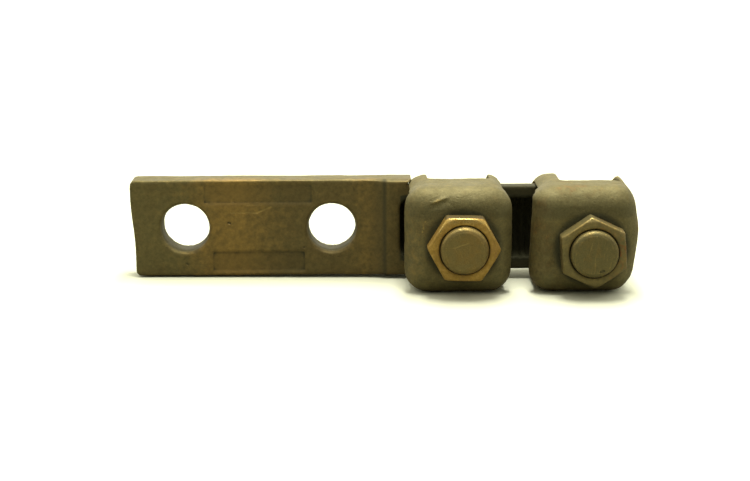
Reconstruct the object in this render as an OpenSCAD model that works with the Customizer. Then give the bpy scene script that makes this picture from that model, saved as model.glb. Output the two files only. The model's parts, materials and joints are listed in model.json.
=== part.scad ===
// Clamp terminal lug: a flat drilled tongue that runs into a half-round
// cable trough, with two screw collars that press saddles on the cable.
// X runs along the lug, from the tongue to the trough's open end.
// -Y is the side that the screws face, and +Y is the tongue's mounting side.
// The origin is the middle of the bolt holes on the mounting face.

/* [Tongue] */
// Height of the tongue across its length
tongue_h = 29.7; // [29:0.1:40]
// Thickness of the tongue
tongue_t = 7.94; // [6:0.01:9.5]
// Distance between the centres of the bolt holes
bolt_pitch = 44.45; // [40:0.05:60]
// Diameter of the bolt holes
bolt_d = 14.29; // [8:0.01:17]
// From the outer hole's centre to the middle of the tongue's end
tongue_end = 15.75; // [12:0.05:25]
// Lean of the tongue's end, with its upper corner further out
end_lean = 1.75; // [0:0.05:5]
// From the inner hole's centre to the closed end of the trough
trough_offset = 20.65; // [19:0.05:40]
// Rounding of the tongue's end corners
tongue_corner_r = 1.6; // [0.8:0.1:5]
// Rounding of the tongue's long edges
tongue_edge_r = 0.7; // [0.3:0.1:1.5]
// Bevel round the front of each bolt hole
hole_bevel = 0.5; // [0.2:0.1:1]

/* [Marking panels] */
// Depth of the two shallow panels in the tongue's face
panel_depth = 0.4; // [0.2:0.1:1]
// Length of the upper panel
upper_panel_l = 33.5; // [15:0.5:34]
// Height of the upper panel
upper_panel_h = 6.4; // [4:0.1:6.6]
// Length of the lower panel
lower_panel_l = 28.7; // [15:0.5:34]
// Height of the lower panel
lower_panel_h = 6.6; // [4:0.1:6.6]
// Distance from each panel to the tongue's nearer long edge
panel_margin = 1.1; // [0.8:0.1:1.2]
// Rounding of the panels' corners
panel_corner_r = 0.8; // [0.3:0.1:1.5]

/* [Trough] */
// Inside radius of the half-round trough
trough_r = 9; // [7:0.1:10]
// Wall of the trough
trough_wall = 3.9; // [3:0.1:4]
// Length of the trough, from its closed end to its open end
trough_l = 68.4; // [67:0.1:90]
// How far the trough's rims stand ahead of the tongue's face
rim_rise = 1.2; // [0.5:0.1:2]
// How far the trough's axis lies behind the tongue's face
axis_setback = 1; // [0:0.1:2]
// Radius of the hollow that rises from the tongue's face to the shoulder
shoulder_sweep_r = 11; // [8:0.5:20]
// Length of the shoulder ahead of the trough's closed end
shoulder_l = 4.1; // [3:0.1:6]
// From the trough's closed end to the face that stops the inner collar
shoulder_lap = 0.6; // [0.3:0.1:2]
// Wall behind the trough's closed end
end_wall = 5; // [4:0.1:8]
// Rounding over the back of the trough's closed end
dome_r = 7; // [5:0.1:9]
// Rounding in the trough's closed end
trough_end_r = 3; // [1:0.1:5]
// Distance from one grip groove to the next
groove_pitch = 2.2; // [2:0.1:4]
// Width of each grip groove
groove_w = 1; // [0.5:0.1:1.4]
// Depth of each grip groove
groove_depth = 0.45; // [0.2:0.05:0.8]
// Bevel inside the trough's open end
mouth_bevel = 1; // [0.5:0.1:2]

/* [Collars] */
// Length of each collar along the trough
collar_l = 31.7; // [26:0.1:38]
// Gap between the inner collar and the tongue's shoulder
shoulder_gap = 0.3; // [0.3:0.1:2]
// Gap between the two collars
collar_gap = 5.4; // [2:0.1:12]
// Wall of each collar's ring
ring_wall = 2.6; // [2:0.1:4]
// Radial clearance between a ring and the trough
ring_clearance = 0.4; // [0.3:0.05:1]
// Thickness of the front wall that carries the screw
front_wall = 7.1; // [6.5:0.1:12]
// From the trough's axis to the inside of the front wall
throat = 14.1; // [14:0.1:22]
// Rounding between a collar's top or bottom and its sides
collar_corner_r = 7; // [6.5:0.1:10]
// Rounding of the front wall's edges
collar_edge_r = 6; // [3:0.1:6.4]
// Length of the inner collar's windows along the trough
inner_window_l = 18.3; // [12:0.1:20]
// Length of the outer collar's windows along the trough
outer_window_l = 19; // [12:0.1:20]
// How far the inner windows lie towards the open end from the collar's middle
inner_window_shift = 0.7; // [0:0.1:3]
// How far the outer windows lie towards the open end from the collar's middle
outer_window_shift = 2.5; // [0:0.1:3]
// From the axis forward to the inner collar's window edge
inner_window_lip = 4.4; // [3:0.1:9]
// From the axis forward to the outer collar's window edge
outer_window_lip = 8; // [3:0.1:9]
// From the axis back to each window's rear edge
window_rear = 10.5; // [6:0.1:12]
// Rounding of the windows' corners
window_corner_r = 1.6; // [0.5:0.1:3]
// How far the inner screw lies below the middle of its collar
inner_screw_drop = 0.75; // [0:0.05:2.5]
// How far the outer screw lies below the middle of its collar
outer_screw_drop = 2; // [0:0.05:2.5]
// How far the inner screw lies towards the open end from the collar's middle
inner_screw_shift = 1.2; // [0:0.1:2]
// How far the outer screw lies towards the open end from the collar's middle
outer_screw_shift = 1.5; // [0:0.1:2]

/* [Screws] */
// Diameter of the screw stems
stem_d = 14.1; // [12:0.1:15]
// Bevel round each stem's outer end
stem_bevel = 0.9; // [0.3:0.1:1.5]
// How far a stem stands out of its hexagon
stem_proud = 2; // [0.5:0.1:4]
// Hexagon size across the flats
hex_af = 18.5; // [17.6:0.1:22]
// Thickness of the hexagon
hex_t = 5.5; // [3:0.1:9]
// Countersink in the hexagon's front, round the stem
hex_countersink = 0.45; // [0.2:0.05:0.7]
// Turn of the inner hexagon from flats at the top and bottom
inner_hex_turn = -1.5; // [-30:0.5:30]
// Turn of the outer hexagon from flats at the top and bottom
outer_hex_turn = 34.5; // [0:0.5:60]
// Radial clearance of a stem in its collar
thread_clearance = 0.08; // [0.05:0.01:0.15]

/* [Saddles] */
// Length of each saddle along the trough
saddle_l = 21; // [16:0.5:26]
// Thickness of a saddle at its cheeks
saddle_t = 5.4; // [5:0.1:6.5]
// Rounding of a saddle's long edges
saddle_edge_r = 0.6; // [0.3:0.1:1.2]
// Depth of the round groove in a saddle's face
saddle_arch = 1.6; // [1:0.1:2]
// Clearance between a saddle and the collar that guides it
saddle_clearance = 0.4; // [0.3:0.05:0.8]
// Diameter of the screw's neck inside the saddle
neck_d = 7; // [5:0.1:8]
// Diameter of the head peened over in the saddle
peen_d = 9.6; // [8.4:0.1:10]
// Thickness of the peened head
peen_t = 1.1; // [0.8:0.1:1.5]
// Radial clearance of the neck and the peened head
swivel_clearance = 0.1; // [0.05:0.05:0.3]
// Gap between flat faces that meet at rest
seat_gap = 0.1; // [0.05:0.05:0.3]

/* [Hidden] */
$fn = 96;

bronze_brown = [0.42, 0.33, 0.18];
bronze_green = [0.44, 0.42, 0.29];
bronze_gold = [0.66, 0.47, 0.17];
cut = 1;

// Lug: planes across Y and stations along X
face_y = -tongue_t;
axis_y = face_y + axis_setback;
rim_y = face_y - rim_rise;
end_reach = (tongue_h / 2 - tongue_corner_r) * tan(end_lean);
tongue_x0 = -bolt_pitch / 2 - tongue_end;
trough_x0 = bolt_pitch / 2 + trough_offset;
trough_x1 = trough_x0 + trough_l;
shoulder_x0 = trough_x0 - shoulder_l;
shoulder_x1 = trough_x0 + shoulder_lap;
dome_x0 = trough_x0 - end_wall;
trough_outer_r = trough_r + trough_wall;
shoulder_sweep_l = sqrt(pow(shoulder_sweep_r, 2) - pow(shoulder_sweep_r - rim_rise, 2));
groove_count = floor((trough_l - mouth_bevel - trough_end_r) / groove_pitch);

// Collars
ring_r = trough_outer_r + ring_clearance;
collar_half_h = ring_r + ring_wall;
throat_y = axis_y - throat;
collar_y0 = throat_y - front_wall;
inner_x = shoulder_x1 + shoulder_gap + collar_l / 2;
outer_x = inner_x + collar_l + collar_gap;

// The tongue's edges run on round the inner collar's corners
nest_r = collar_corner_r + shoulder_gap;
nest_rise = min(tongue_h / 2 - collar_half_h + collar_corner_r, 0.85 * nest_r);
tongue_x1 = shoulder_x1 + nest_r - sqrt(pow(nest_r, 2) - pow(nest_rise, 2));

// Screws and saddles, at rest with the hexagons home on the collars
inner_screw_x = inner_x + inner_screw_shift;
outer_screw_x = outer_x + outer_screw_shift;
stem_r = stem_d / 2;
hex_y = collar_y0 - seat_gap;
stem_y0 = hex_y - hex_t - stem_proud;
cheek_y = rim_y - ring_clearance;
saddle_y0 = cheek_y - saddle_t;
crown_y = cheek_y - saddle_arch;
stem_seat_y = saddle_y0 - seat_gap;
peen_y = crown_y - 0.2;
web_y = peen_y - peen_t - seat_gap;

// Lays a flat XZ shape in the plane Y = y1 and thickens it forward to y0
module plate(y0, y1) {
    translate([0, y1, 0]) rotate([90, 0, 0]) linear_extrude(y1 - y0) children();
}

// Thickens a YZ section from x0 to x1
module bar(x0, x1) {
    translate([x0, 0, 0]) rotate([90, 0, 90]) linear_extrude(x1 - x0) children();
}

// Thickens an XY plan from z0 to z1
module slab(z0, z1) {
    translate([0, 0, z0]) linear_extrude(z1 - z0) children();
}

// Turned shape about the line along Y through x and z: its outline is
// drawn as radius against distance forward of y
module turned(x, y, z) {
    translate([x, y, z]) rotate([90, 0, 0]) rotate_extrude() children();
}

// Rectangle with exact arcs at its corners
module rounded_rect(x0, x1, y0, y1, r) {
    translate([x0 + r, y0]) square([x1 - x0 - 2 * r, y1 - y0]);
    translate([x0, y0 + r]) square([x1 - x0, y1 - y0 - 2 * r]);
    for (x = [x0 + r, x1 - r], y = [y0 + r, y1 - r]) translate([x, y]) circle(r);
}

// Outline of the tongue, with its leaning end and rounded corners
module tongue_outline() {
    h = tongue_h / 2 - tongue_corner_r;
    lean = [cos(end_lean), -sin(end_lean)] * tongue_corner_r;
    top = [tongue_x0 - end_reach + tongue_corner_r, h];
    bottom = [tongue_x0 + end_reach + tongue_corner_r, -h];
    for (corner = [top, bottom]) translate(corner) circle(tongue_corner_r);
    polygon([
        bottom - lean, top - lean, top + [0, tongue_corner_r],
        [tongue_x1 + cut, tongue_h / 2], [tongue_x1 + cut, -tongue_h / 2],
        bottom - [0, tongue_corner_r]
    ]);
}

// Flat tongue with its soft long edges
module tongue() {
    intersection() {
        plate(face_y, 0) tongue_outline();
        bar(tongue_x0 - end_reach - cut, tongue_x1)
            rounded_rect(face_y, 0, -tongue_h / 2, tongue_h / 2, tongue_edge_r);
    }
}

// Shoulder: a hollow sweep up from the tongue's face to the rim plane
module shoulder() {
    half_h = tongue_h / 2 - tongue_edge_r / 3;
    slab(-half_h, half_h) difference() {
        translate([shoulder_x0 - shoulder_sweep_l, rim_y])
            square([shoulder_sweep_l + tongue_x1 - shoulder_x0, rim_rise + cut]);
        translate([shoulder_x0 - shoulder_sweep_l, face_y - shoulder_sweep_r])
            circle(shoulder_sweep_r);
    }
}

// Room for the inner collar, which the tongue and the shoulder stop short of
module collar_nest() {
    nest_half_h = collar_half_h + shoulder_gap;
    plate(rim_y - cut, cut)
        rounded_rect(shoulder_x1, tongue_x1 + 2 * nest_r, -nest_half_h, nest_half_h, nest_r);
}

// Half turn about the trough's axis, round its back: the outline is drawn
// as radius against X
module back_turn() {
    translate([0, axis_y, 0]) rotate([0, 90, 0]) rotate_extrude(angle = 180) children();
}

// Outside of the trough: half-round back, rounded over at its closed end,
// and straight rims
module trough_outside() {
    back_turn() intersection() {
        rounded_rect(-trough_outer_r, trough_outer_r, dome_x0, trough_x1 + dome_r + cut, dome_r);
        translate([0, dome_x0]) square([trough_outer_r, trough_x1 - dome_x0]);
    }
    translate([shoulder_x0, rim_y, -trough_outer_r])
        cube([trough_x1 - shoulder_x0, axis_y - rim_y, 2 * trough_outer_r]);
}

// Half outline of the hollow, with the round in its closed end
module hollow_outline(half) {
    intersection() {
        rounded_rect(trough_x0, trough_x1 + trough_end_r + cut, -trough_r, trough_r, trough_end_r);
        translate([trough_x0, half ? 0 : -trough_r])
            square([trough_l + cut, half ? trough_r : 2 * trough_r]);
    }
}

// Hollow of the trough, open forward and at its right end
module trough_hollow() {
    back_turn() mirror([1, -1]) hollow_outline(true);
    plate(rim_y - cut, axis_y) hollow_outline(false);
    for (i = [0:groove_count - 1])
        translate([trough_x0 + trough_end_r + i * groove_pitch, axis_y, 0]) rotate([0, 90, 0])
            cylinder(h = groove_w, r = trough_r + groove_depth);
    translate([trough_x1 - mouth_bevel, axis_y, 0]) rotate([0, 90, 0])
        cylinder(h = mouth_bevel + cut, r1 = trough_r, r2 = trough_r + mouth_bevel + cut);
}

// Bolt hole with its bevelled front rim
module bolt_hole(x) {
    turned(x, cut, 0) polygon([
        [0, 0], [bolt_d / 2, 0],
        [bolt_d / 2, cut + tongue_t - hole_bevel],
        [bolt_d / 2 + hole_bevel + cut, 2 * cut + tongue_t],
        [0, 2 * cut + tongue_t]
    ]);
}

// Shallow bare panel, centred between the bolt holes
module panel(z0, z1, l) {
    plate(face_y - cut, face_y + panel_depth) rounded_rect(-l / 2, l / 2, z0, z1, panel_corner_r);
}

module lug_body() {
    panel_edge = tongue_h / 2 - panel_margin;
    color(bronze_brown) difference() {
        union() {
            difference() {
                union() {
                    tongue();
                    shoulder();
                }
                collar_nest();
            }
            trough_outside();
        }
        trough_hollow();
        for (side = [-1, 1]) bolt_hole(side * bolt_pitch / 2);
        panel(panel_edge - upper_panel_h, panel_edge, upper_panel_l);
        panel(-panel_edge, -panel_edge + lower_panel_h, lower_panel_l);
    }
}

// Section through a collar's side from its front edge back to the trough's
// axis, rounded over at its outer front
module side_section() {
    side_l = front_wall + throat;
    core = collar_corner_r - collar_edge_r;
    square([core, side_l]);
    square([collar_corner_r, side_l - collar_edge_r]);
    translate([core, side_l - collar_edge_r]) intersection() {
        circle(collar_edge_r);
        square(collar_edge_r);
    }
}

// Front half of a collar's outside: turned corners, joined by sides of one section
module collar_front() {
    dx = collar_l / 2 - collar_corner_r;
    dz = collar_half_h - collar_corner_r;
    for (x = [-dx, dx], z = [-dz, dz]) turned(x, axis_y, z) side_section();
    for (side = [-1, 1]) {
        bar(-dx, dx) translate([axis_y, side * dz])
            mirror([0, side < 0 ? 1 : 0]) rotate(90) side_section();
        slab(-dz, dz) translate([side * dx, axis_y])
            mirror([side < 0 ? 1 : 0, 0]) mirror([0, 1]) side_section();
    }
    plate(collar_y0, axis_y) square([2 * dx, 2 * dz], center = true);
}

// Back half of a collar's outside: a half turn round the trough's axis
module collar_back() {
    back_turn() intersection() {
        rounded_rect(-collar_half_h, collar_half_h, -collar_l / 2, collar_l / 2, collar_corner_r);
        translate([0, -collar_l / 2]) square([collar_half_h, collar_l]);
    }
}

// Way through a collar, for the trough behind and the saddle in front
module collar_way() {
    translate([-collar_l, throat_y, -ring_r]) cube([2 * collar_l, throat, 2 * ring_r]);
    translate([-collar_l, axis_y, 0]) rotate([0, 90, 0]) cylinder(h = 2 * collar_l, r = ring_r);
}

// Collar: front wall and ring, with a window through its top and bottom
module collar(x, window_x, window_l, window_lip, screw_x, screw_drop) {
    color(bronze_green) difference() {
        translate([x, 0, 0]) difference() {
            union() {
                collar_front();
                collar_back();
            }
            collar_way();
        }
        slab(-collar_half_h - cut, collar_half_h + cut)
            rounded_rect(window_x - window_l / 2, window_x + window_l / 2,
                axis_y - window_lip, axis_y + window_rear, window_corner_r);
        translate([screw_x, throat_y + cut, -screw_drop]) rotate([90, 0, 0])
            cylinder(h = front_wall + 2 * cut, r = stem_r + thread_clearance);
    }
}

// Screw stem: bevelled outer end, neck through the saddle and peened head
module screw_stem(x, screw_drop) {
    stem_l = stem_seat_y - stem_y0;
    neck_l = peen_y - stem_seat_y;
    color(bronze_brown) {
        turned(x, stem_seat_y, -screw_drop) polygon([
            [0, -neck_l / 2], [neck_d / 2, -neck_l / 2], [neck_d / 2, 0], [stem_r, 0],
            [stem_r, stem_l - stem_bevel], [stem_r - stem_bevel, stem_l], [0, stem_l]
        ]);
        turned(x, peen_y, -screw_drop) polygon([
            [0, 0], [peen_d / 2 - peen_t / 2, 0], [peen_d / 2, peen_t / 2], [peen_d / 2, peen_t],
            [neck_d / 2, peen_t], [neck_d / 2, neck_l / 2 + cut / 2], [0, neck_l / 2 + cut / 2]
        ]);
    }
}

// Thin hexagon on the stem: bevelled corners and a countersunk front
module hexagon(x, screw_drop, turn) {
    corner_r = hex_af / 2 / cos(30);
    bevel = 0.6 * (corner_r - hex_af / 2);
    color(bronze_gold) difference() {
        translate([x, hex_y, -screw_drop]) rotate([90, 0, 0]) intersection() {
            rotate(turn) cylinder(h = hex_t, r = corner_r, $fn = 6);
            rotate_extrude() polygon([
                [0, 0], [corner_r, 0], [corner_r, hex_t - bevel], [hex_af / 2, hex_t], [0, hex_t]
            ]);
        }
        turned(x, hex_y + cut, -screw_drop) polygon([
            [0, 0], [stem_r, 0], [stem_r, cut + hex_t - hex_countersink],
            [stem_r + hex_countersink + cut, 2 * cut + hex_t], [0, 2 * cut + hex_t]
        ]);
    }
}

// Saddle: a pressure bar with a round groove for the cable
module saddle(x, screw_x, screw_drop) {
    half_h = ring_r - saddle_clearance;
    color(bronze_brown) difference() {
        bar(x - saddle_l / 2, x + saddle_l / 2)
            rounded_rect(saddle_y0, cheek_y, -half_h, half_h, saddle_edge_r);
        translate([x - saddle_l, crown_y + trough_r, 0]) rotate([0, 90, 0])
            cylinder(h = 2 * saddle_l, r = trough_r);
        turned(screw_x, cheek_y + cut, -screw_drop) polygon([
            [0, 0], [peen_d / 2 + swivel_clearance, 0],
            [peen_d / 2 + swivel_clearance, cheek_y + cut - web_y],
            [neck_d / 2 + swivel_clearance, cheek_y + cut - web_y],
            [neck_d / 2 + swivel_clearance, saddle_t + 2 * cut], [0, saddle_t + 2 * cut]
        ]);
    }
}

module inner_collar() {
    collar(inner_x, inner_x + inner_window_shift, inner_window_l, inner_window_lip,
        inner_screw_x, inner_screw_drop);
}
module inner_screw_stem() { screw_stem(inner_screw_x, inner_screw_drop); }
module inner_hexagon() { hexagon(inner_screw_x, inner_screw_drop, inner_hex_turn); }
module inner_saddle() { saddle(inner_x, inner_screw_x, inner_screw_drop); }
module outer_collar() {
    collar(outer_x, outer_x + outer_window_shift, outer_window_l, outer_window_lip,
        outer_screw_x, outer_screw_drop);
}
module outer_screw_stem() { screw_stem(outer_screw_x, outer_screw_drop); }
module outer_hexagon() { hexagon(outer_screw_x, outer_screw_drop, outer_hex_turn); }
module outer_saddle() { saddle(outer_x, outer_screw_x, outer_screw_drop); }

lug_body();
inner_collar();
inner_screw_stem();
inner_hexagon();
inner_saddle();
outer_collar();
outer_screw_stem();
outer_hexagon();
outer_saddle();
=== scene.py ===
# Looks of a clamp terminal lug: rough cast skins, screw threads, patina and wear, built
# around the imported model. Blender works in metres; the shaping in code is done in mm.
import json
import math

import bmesh
import bpy
import numpy as np
from bpy.props import FloatProperty, FloatVectorProperty, IntProperty, PointerProperty
from mathutils import Matrix, Vector


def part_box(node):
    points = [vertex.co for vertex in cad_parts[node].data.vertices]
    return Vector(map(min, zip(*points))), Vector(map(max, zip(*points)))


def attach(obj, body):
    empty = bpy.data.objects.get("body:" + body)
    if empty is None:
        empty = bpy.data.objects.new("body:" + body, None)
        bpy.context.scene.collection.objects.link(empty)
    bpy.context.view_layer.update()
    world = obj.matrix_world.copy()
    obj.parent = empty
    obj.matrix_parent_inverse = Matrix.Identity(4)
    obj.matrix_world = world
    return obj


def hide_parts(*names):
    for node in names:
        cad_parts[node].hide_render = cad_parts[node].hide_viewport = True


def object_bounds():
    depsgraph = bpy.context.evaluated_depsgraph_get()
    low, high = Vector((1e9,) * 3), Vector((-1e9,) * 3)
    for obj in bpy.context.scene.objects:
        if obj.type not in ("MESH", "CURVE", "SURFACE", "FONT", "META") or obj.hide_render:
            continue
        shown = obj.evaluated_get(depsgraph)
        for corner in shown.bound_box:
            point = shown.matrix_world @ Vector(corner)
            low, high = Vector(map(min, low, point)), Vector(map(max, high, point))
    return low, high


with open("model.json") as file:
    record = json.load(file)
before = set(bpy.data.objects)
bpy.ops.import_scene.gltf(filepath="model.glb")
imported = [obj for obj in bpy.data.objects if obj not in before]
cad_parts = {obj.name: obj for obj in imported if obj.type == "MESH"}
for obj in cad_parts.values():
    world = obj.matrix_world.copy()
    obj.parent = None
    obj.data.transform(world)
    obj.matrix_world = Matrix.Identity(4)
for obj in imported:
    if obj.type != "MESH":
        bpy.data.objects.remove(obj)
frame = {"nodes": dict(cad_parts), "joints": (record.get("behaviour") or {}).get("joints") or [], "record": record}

bl_info = {
    "name": "Clamp Terminal Lug",
    "version": (1, 0, 0),
    "blender": (4, 5, 0),
    "location": "View3D > Sidebar > Terminal Lug",
    "description": "Cast bronze terminal lug with two screw collars, on a pale floor",
    "category": "Object",
}

MM = 0.001
CAD_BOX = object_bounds()
JOINTS = {joint["name"]: joint for joint in frame["joints"]}
ENDS = ("inner", "outer")

# fixed sizes in mm; a skin is lump size, lump height, grain size and grain height
FRONT_WALL = 7.1        # depth of a collar's front wall
SEAT_DEPTH = 6.06       # from a screw's axis point to the shoulder above its neck
NECK, HEAD = 3.5, 4.8   # radii of a stem's neck and of its peened head
HEXAGON_SKIN = (3.5, 0.05, 0.9, 0.012)
STEM_SKIN = (3.0, 0.03, 0.8, 0.008)
STEM_SEGMENTS = 144
RING_STEP = 0.2002      # just over 0.2, so that no part of the profile ends on half a step


# ---- settings

def number(name, description, default, **more):
    return FloatProperty(name=name, description=description, default=default, **more)


def length(name, description, default, lowest=0.0):
    """A length whose default is given in mm."""
    return number(name, description, default * MM, unit="LENGTH", precision=5, min=lowest)


def angle(name, description, default, **more):
    """An angle whose default is given in degrees."""
    return number(name, description, math.radians(default), subtype="ANGLE", **more)


def softness(default):
    return IntProperty(name="Edge softness", description="Rounds of smoothing of the skin",
                       default=default, min=0, max=40)


def colour(name, description, default):
    return FloatVectorProperty(name=name, description=description, default=default,
                               size=3, subtype="COLOR", min=0.0, max=1.0)


class LugCastingSettings(bpy.types.PropertyGroup):
    voxel: length("Mesh size", "Size of the faces of the casting's skin", 0.42)
    rounds: softness(2)
    lump_size: length("Lump size", "Size of the slow unevenness of the casting", 9)
    lump_height: length("Lump height", "Height of the slow unevenness", 0.11)
    grain_size: length("Grain size", "Size of the sand grain in the skin", 1.3)
    grain_height: length("Grain height", "Height of the sand grain", 0.035)
    rim_flare: length("Rim flare", "How far the bolt holes open out at the front", 0.5)
    end_bulge: length("End bulge", "How far the tongue's end swells near its top", 0.3)


class CollarSettings(bpy.types.PropertyGroup):
    voxel: length("Mesh size", "Size of the faces of the collars' skin", 0.36)
    rounds: softness(10)
    lump_size: length("Lump size", "Size of the slow unevenness of the castings", 8)
    lump_height: length("Lump height", "Height of the slow unevenness", 0.16)
    grain_size: length("Grain size", "Size of the sand grain in the skin", 1.1)
    grain_height: length("Grain height", "Height of the sand grain", 0.035)
    lean: angle("Outer lean", "Lean of the outer collar's sides", 2.2, min=0.0, max=0.1)
    taper: length("Outer taper", "Draw-in of the outer collar's lower far side", 0.9)
    round_off: length("Rounded corners", "Draw-in of the collars' upper corners", 0.9)
    dent: length("Dent", "Depth of the shallow dent in the inner collar", 0.4)


class ScrewSettings(bpy.types.PropertyGroup):
    pitch: length("Thread pitch", "Distance from one thread to the next", 2.1167)
    depth: length("Thread depth", "Depth of the thread", 0.9)
    stem_gap: length("Stem gap", "Gap that shows round a stem in its hexagon", 0.1)
    hexagon_voxel: length("Hexagon mesh size", "Size of the faces of the hexagons", 0.24)


class FinishSettings(bpy.types.PropertyGroup):
    brown: colour("Brown patina", "Main colour of the tongue and the trough",
                  (0.170, 0.125, 0.043))
    olive: colour("Olive patina", "Cooler colour of the lug's far end", (0.190, 0.155, 0.056))
    golden: colour("Golden patina", "Warm colour where the patina is thin", (0.340, 0.215, 0.055))
    green: colour("Green patina", "Main colour of the collars", (0.195, 0.165, 0.065))
    copper: colour("Copper stain", "Red-brown patches", (0.260, 0.115, 0.035))
    bright: colour("Bare bronze", "Colour of edges rubbed bare", (0.600, 0.420, 0.130))
    hexagon: colour("Hexagon bronze", "Colour of the worn hexagons", (0.430, 0.255, 0.048))
    turned: colour("Turned bronze", "Colour of the stems", (0.250, 0.190, 0.065))
    # this colour stands for dirt and also for painted shade in hollows and recesses
    grime_and_shade: colour("Grime", "Dark dirt in corners and hollows", (0.034, 0.037, 0.016))


class StageSettings(bpy.types.PropertyGroup):
    camera_x: length("Camera X", "Camera position along the lug", 31.64, -10.0)
    camera_y: length("Camera Y", "Camera position across the lug", -455.98, -10.0)
    camera_z: length("Camera Z", "Camera height over the holes", 108.07, -10.0)
    pitch: angle("Pitch", "How far the camera looks down", 14.05)
    yaw: angle("Yaw", "How far the camera looks towards +X", 0.47)
    roll: angle("Roll", "Turn of the camera about its view", -0.25)
    lens: number("Lens", "Focal length in millimetres", 72.95, min=10.0)
    floor_share: number("Floor slope", "Share of the tongue's clearance that the floor takes up",
                        0.55, min=0.0, max=1.0)
    floor: colour("Floor", "Colour of the floor", (0.93, 0.94, 0.74))
    bounce: number("Floor bounce", "Share of its light that the floor gives back",
                   0.32, min=0.0, max=1.0)
    top_light: number("Top light", "Power of the top lamp in watts", 3.4, min=0.0)
    sky: number("Sky", "Strength of the pale room light", 1.0, min=0.0)


# ---- mesh helpers

def link_object(name, data):
    made = bpy.data.objects.new(name, data)
    bpy.context.scene.collection.objects.link(made)
    return made


def object_from(shape, name):
    """Ends a bmesh as an object of its own."""
    mesh = bpy.data.meshes.new(name)
    shape.to_mesh(mesh)
    shape.free()
    return link_object(name, mesh)


def merged_copy(node, name):
    """A closed copy of a CAD node's mesh, in the same place."""
    shape = bmesh.new()
    shape.from_mesh(frame["nodes"][node].data)
    bmesh.ops.remove_doubles(shape, verts=shape.verts, dist=2e-6)
    return object_from(shape, name)


def make_plain(piece):
    """Turns a piece and its modifiers into one plain mesh."""
    graph = bpy.context.evaluated_depsgraph_get()
    mesh = bpy.data.meshes.new_from_object(
        piece.evaluated_get(graph), preserve_all_data_layers=True, depsgraph=graph)
    piece.modifiers.clear()
    old = piece.data
    piece.data = mesh
    bpy.data.meshes.remove(old)
    mesh.name = piece.name


def reskin(piece, voxel, smoothing):
    """Even small faces all over a piece, with its sharp edges softened."""
    remesh = piece.modifiers.new("Skin", "REMESH")
    remesh.mode = "VOXEL"
    remesh.voxel_size = voxel
    if smoothing:
        soften = piece.modifiers.new("Soften", "SMOOTH")
        soften.factor = 0.5
        soften.iterations = smoothing
    make_plain(piece)
    if not piece.data.polygons:
        raise RuntimeError(f"{piece.name} has no faces after its remesh")


def read(items, name, width, kind=np.float32):
    """One array of a value that each item of a mesh has."""
    flat = np.empty(len(items) * width, kind)
    items.foreach_get(name, flat)
    return flat.reshape(-1, width)


def get_points(mesh):
    """The mesh's points in mm."""
    return read(mesh.vertices, "co", 3).astype(float) / MM


def set_points(mesh, points):
    mesh.vertices.foreach_set("co", (points * MM).astype(np.float32).ravel())
    mesh.update()


def get_normals(mesh):
    return read(mesh.vertex_normals, "vector", 3).astype(float)


def get_edges(mesh):
    return read(mesh.edges, "vertices", 2, np.int32)


def get_mask(mesh, name):
    return read(mesh.attributes[name].data, "value", 1)[:, 0].astype(float)


def set_mask(mesh, name, values):
    """Stores one number for each point under a name that materials read."""
    mask = mesh.attributes.get(name) or mesh.attributes.new(name, "FLOAT", "POINT")
    values = np.broadcast_to(np.clip(values, 0, 1), len(mesh.vertices))
    mask.data.foreach_set("value", values.astype(np.float32))


def scale_mask(mesh, name, share):
    set_mask(mesh, name, get_mask(mesh, name) * share)


def raise_mask(mesh, name, least):
    """Lifts a mask to at least the given values."""
    set_mask(mesh, name, np.maximum(get_mask(mesh, name), least))


def ramp(values, start, end):
    """Smooth step from 0 at start to 1 at end."""
    t = np.clip((values - start) / (end - start), 0, 1)
    return t * t * (3 - 2 * t)


def band(values, start, full, fading, end):
    """Smooth step up from start to full, and down again from fading to end."""
    return ramp(values, start, full) - ramp(values, fading, end)


def hump(values, middle, width, power=2):
    """1 at the middle, soft on both sides; a higher power is flatter on top."""
    return np.exp(-((values - middle) / width) ** power)


def spread(points, edges, times_over):
    """Each row averaged with its neighbours, over and over."""
    count = len(points)
    a, b = edges[:, 0], edges[:, 1]
    degree = np.bincount(edges.ravel(), minlength=count)
    for _ in range(times_over):
        total = np.stack([
            np.bincount(a, points[b, k], count) + np.bincount(b, points[a, k], count)
            for k in range(points.shape[1])
        ], axis=1)
        points = (points + total / degree[:, None]) / 2
    return points


def mark_edges(mesh, edge_height, hollow_height, reach=10):
    """Masks of outer edges, for rubbed wear, and of inner corners, for dirt and painted shade, from the mesh's own
    shape, in mm.
    """
    edges = get_edges(mesh)
    points = get_points(mesh)
    normals = get_normals(mesh)
    near = spread(points, edges, reach)
    far = spread(near, edges, reach * 3)
    set_mask(mesh, "edge", ((points - near) * normals).sum(1) / edge_height)
    set_mask(mesh, "hollow", -((points - far) * normals).sum(1) / hollow_height)


# ---- node helpers

def feed(tree, socket, value):
    """Gives an input a value, or links it to another node's output."""
    if isinstance(value, bpy.types.NodeSocket):
        tree.links.new(value, socket)
    elif socket.type == "RGBA" and len(value) == 3:
        socket.default_value = (*value, 1)
    else:
        socket.default_value = value


def add_node(tree, kind, inputs=(), **settings):
    """A node with its settings and inputs; an input may be a value or a socket."""
    node = tree.nodes.new(kind)
    for name, value in settings.items():
        setattr(node, name, value)
    for key, value in dict(inputs).items():
        feed(tree, node.inputs[key], value)
    return node


def tree_of(*values):
    """The node tree that the first socket among some values is in."""
    return next(v.id_data for v in values if isinstance(v, bpy.types.NodeSocket))


def maths(operation, *values):
    """The value of a Math node; a value may be a number or a socket."""
    return add_node(tree_of(*values), "ShaderNodeMath", enumerate(values),
                    operation=operation).outputs[0]


def plus(a, b):
    return maths("ADD", a, b)


def minus(a, b):
    return maths("SUBTRACT", a, b)


def times(a, b):
    return maths("MULTIPLY", a, b)


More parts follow.
